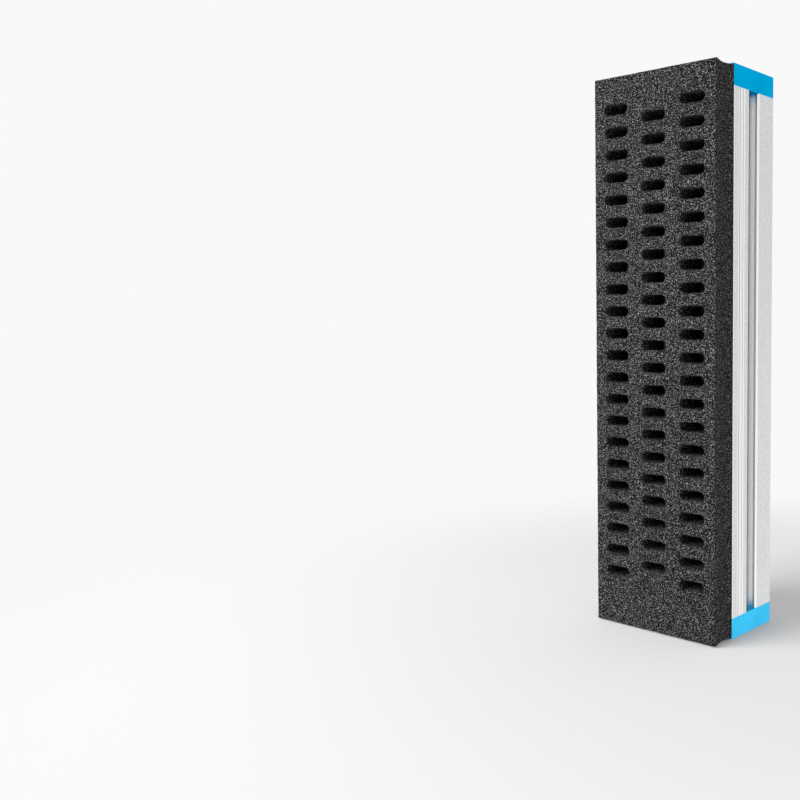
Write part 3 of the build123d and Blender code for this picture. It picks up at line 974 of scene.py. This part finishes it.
class GRIPPER_OT_sponge_pad(bpy.types.Operator):
    """Build the die-cut sponge pad in place of its plain solid"""

    bl_idname = "gripper.sponge_pad"
    bl_label = "Sponge Pad"

    def execute(self, context):
        sponge = context.scene.gripper_sponge
        low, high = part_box("foam_pad")
        centres = slot_centres(sponge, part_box("end_cap_upper")[1].z)
        across, along = pad_lines(sponge, low, high)
        plain = plain_cells(sponge, centres, across, along)
        skin, edge, back = pad_body(sponge, across, along, low, high)
        tiles = slot_tiles(sponge, centres, low.y, high.y)
        points, quads = welded_surface([skin, edge, back, *tiles], {0: plain, 2: plain.T})
        points = points + sponge_waves(points, sponge.waviness, high.y, high.y - low.y)
        points = np.clip(points, np.array(low), np.array(high))
        piece = make_piece("foam_pad_detailed", points, quads, cut_sponge(sponge))
        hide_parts("foam_pad")
        return {"FINISHED"}


class GRIPPER_OT_profile(bpy.types.Operator):
    """Finish the extruded body and its suction base"""

    bl_idname = "gripper.profile"
    bl_label = "Extruded Body"

    def execute(self, context):
        dress(extruded_aluminium(context.scene.gripper_metal), "profile", "suction_base")
        return {"FINISHED"}


class GRIPPER_OT_end_caps(bpy.types.Operator):
    """Finish both end caps"""

    bl_idname = "gripper.end_caps"
    bl_label = "End Caps"

    def execute(self, context):
        metal = context.scene.gripper_metal
        dress(anodised_blue("anodised_blue_upper", metal, metal.upper_blue), "end_cap_upper")
        # The lower cap gets a paler copy of the blue: painted light from the floor below
        dress(anodised_blue("anodised_blue_lower", metal, metal.lower_blue_painted_paler), "end_cap_lower")
        return {"FINISHED"}


class GRIPPER_OT_screws(bpy.types.Operator):
    """Build the countersunk screws of both ends in place of their plain solids"""

    bl_idname = "gripper.screws"
    bl_label = "Screws"

    def execute(self, context):
        sizes = context.scene.gripper_screws
        end_sizes = (sizes.end_diameter, sizes.end_head, sizes.end_socket, sizes.end_thread)
        rear_sizes = (sizes.rear_diameter, sizes.rear_head, sizes.rear_socket, sizes.rear_thread)
        black = black_oxide(context.scene.gripper_metal)
        downward = Matrix.Rotation(math.pi, 4, "X")
        rearward = Matrix.Rotation(-math.pi / 2, 4, "X")
        half = sizes.end_head / 2
        for node_name, turned, face in (
            ("end_screws_upper", Matrix(), 1),
            ("end_screws_lower", downward, 0),
        ):
            low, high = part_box(node_name)
            z = (low.z, high.z)[face]
            rows = (low.y + half, high.y - half)
            spots = [(x, y, z) for x in (low.x + half, high.x - half) for y in rows]
            grid = countersunk_screw(*end_sizes, high.z - low.z)
            screws_piece(node_name, grid, turned, spots, black)
        half = sizes.rear_head / 2
        for node_name in ("suspension_screws_upper", "suspension_screws_lower"):
            low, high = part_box(node_name)
            z = (low.z + high.z) / 2
            spots = [(x, high.y, z) for x in (low.x + half, high.x - half)]
            grid = countersunk_screw(*rear_sizes, high.y - low.y)
            screws_piece(node_name, grid, rearward, spots, black)
        return {"FINISHED"}


class GRIPPER_OT_gaskets(bpy.types.Operator):
    """Finish the gasket rings of both caps"""

    bl_idname = "gripper.gaskets"
    bl_label = "Gaskets"

    def execute(self, context):
        rubber = gasket_rubber(context.scene.gripper_seals)
        dress(rubber, "end_gasket_upper", "end_gasket_lower")
        return {"FINISHED"}


class GRIPPER_OT_restrictor_strips(bpy.types.Operator):
    """Finish the restrictor strips behind the slots"""

    bl_idname = "gripper.restrictor_strips"
    bl_label = "Restrictor Strips"

    def execute(self, context):
        strips = [f"restrictor_strip_{side}" for side in ("left", "middle", "right")]
        dress(strip_plastic(context.scene.gripper_seals), *strips)
        return {"FINISHED"}


class GRIPPER_OT_port_strainer(bpy.types.Operator):
    """Finish the perforated disc in the vacuum port"""

    bl_idname = "gripper.port_strainer"
    bl_label = "Port Strainer"

    def execute(self, context):
        dress(rolled_steel(context.scene.gripper_metal), "port_strainer")
        return {"FINISHED"}


class GRIPPER_OT_studio(bpy.types.Operator):
    """Build the floor, the lamps and the camera"""

    bl_idname = "gripper.studio"
    bl_label = "Studio"

    def execute(self, context):
        studio = context.scene.gripper_studio
        half = studio.floor_size / 2
        steps = np.linspace(-half, half, 3)
        x, y = np.meshgrid(steps, steps, indexing="ij")
        ground = np.stack([x, y, np.full_like(x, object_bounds()[0].z - 0.0001)], -1)
        quads = grid_quads((1, 3, 3), 0)
        mesh = bpy.data.meshes.new("studio_floor")
        mesh.from_pydata(ground.reshape(-1, 3).tolist(), [], quads.tolist())
        mesh.materials.append(studio_floor(studio))
        floor = bpy.data.objects.new("studio_floor", mesh)
        context.scene.collection.objects.link(floor)
        floor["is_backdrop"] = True
        build_world(studio)
        for lamp in ("key", "fill"):
            area_lamp(
                f"{lamp}_lamp",
                getattr(studio, f"{lamp}_place"),
                studio.lamp_target,
                getattr(studio, f"{lamp}_size"),
                getattr(studio, f"{lamp}_power"),
            )
        build_camera(studio)
        context.scene.view_settings.view_transform = "Standard"
        return {"FINISHED"}


class GRIPPER_PT_panel(bpy.types.Panel):
    """Sidebar panel with the sizes, the finishes and the build steps"""

    bl_label = "Foam Area Gripper"
    bl_idname = "GRIPPER_PT_panel"
    bl_space_type = "VIEW_3D"
    bl_region_type = "UI"
    bl_category = "Gripper"

    def draw(self, context):
        for group in SETTINGS:
            box = self.layout.box()
            settings = getattr(context.scene, group)
            for name in settings.bl_rna.properties.keys():
                if name not in ("rna_type", "name"):
                    box.prop(settings, name)
        for step in STEPS:
            self.layout.operator(f"gripper.{step}")


SETTINGS = {
    "gripper_sponge": SpongeSettings,
    "gripper_metal": MetalSettings,
    "gripper_screws": ScrewSettings,
    "gripper_seals": SealSettings,
    "gripper_studio": StudioSettings,
}
OPERATORS = (
    GRIPPER_OT_sponge_pad,
    GRIPPER_OT_profile,
    GRIPPER_OT_end_caps,
    GRIPPER_OT_screws,
    GRIPPER_OT_gaskets,
    GRIPPER_OT_restrictor_strips,
    GRIPPER_OT_port_strainer,
    GRIPPER_OT_studio,
)
STEPS = [operator.bl_idname.split(".")[1] for operator in OPERATORS]


def register():
    """Register the settings, the operators and the panel."""
    for name, settings in SETTINGS.items():
        bpy.utils.register_class(settings)
        setattr(bpy.types.Scene, name, PointerProperty(type=settings))
    for kind in (*OPERATORS, GRIPPER_PT_panel):
        bpy.utils.register_class(kind)


def unregister():
    """Take the panel, the operators and the settings away again."""
    for kind in (GRIPPER_PT_panel, *reversed(OPERATORS)):
        bpy.utils.unregister_class(kind)
    for name, settings in reversed(SETTINGS.items()):
        delattr(bpy.types.Scene, name)
        bpy.utils.unregister_class(settings)


def main():
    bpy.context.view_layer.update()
    register()
    for step in STEPS:
        getattr(bpy.ops.gripper, step)()


if __name__ == "__main__":
    main()
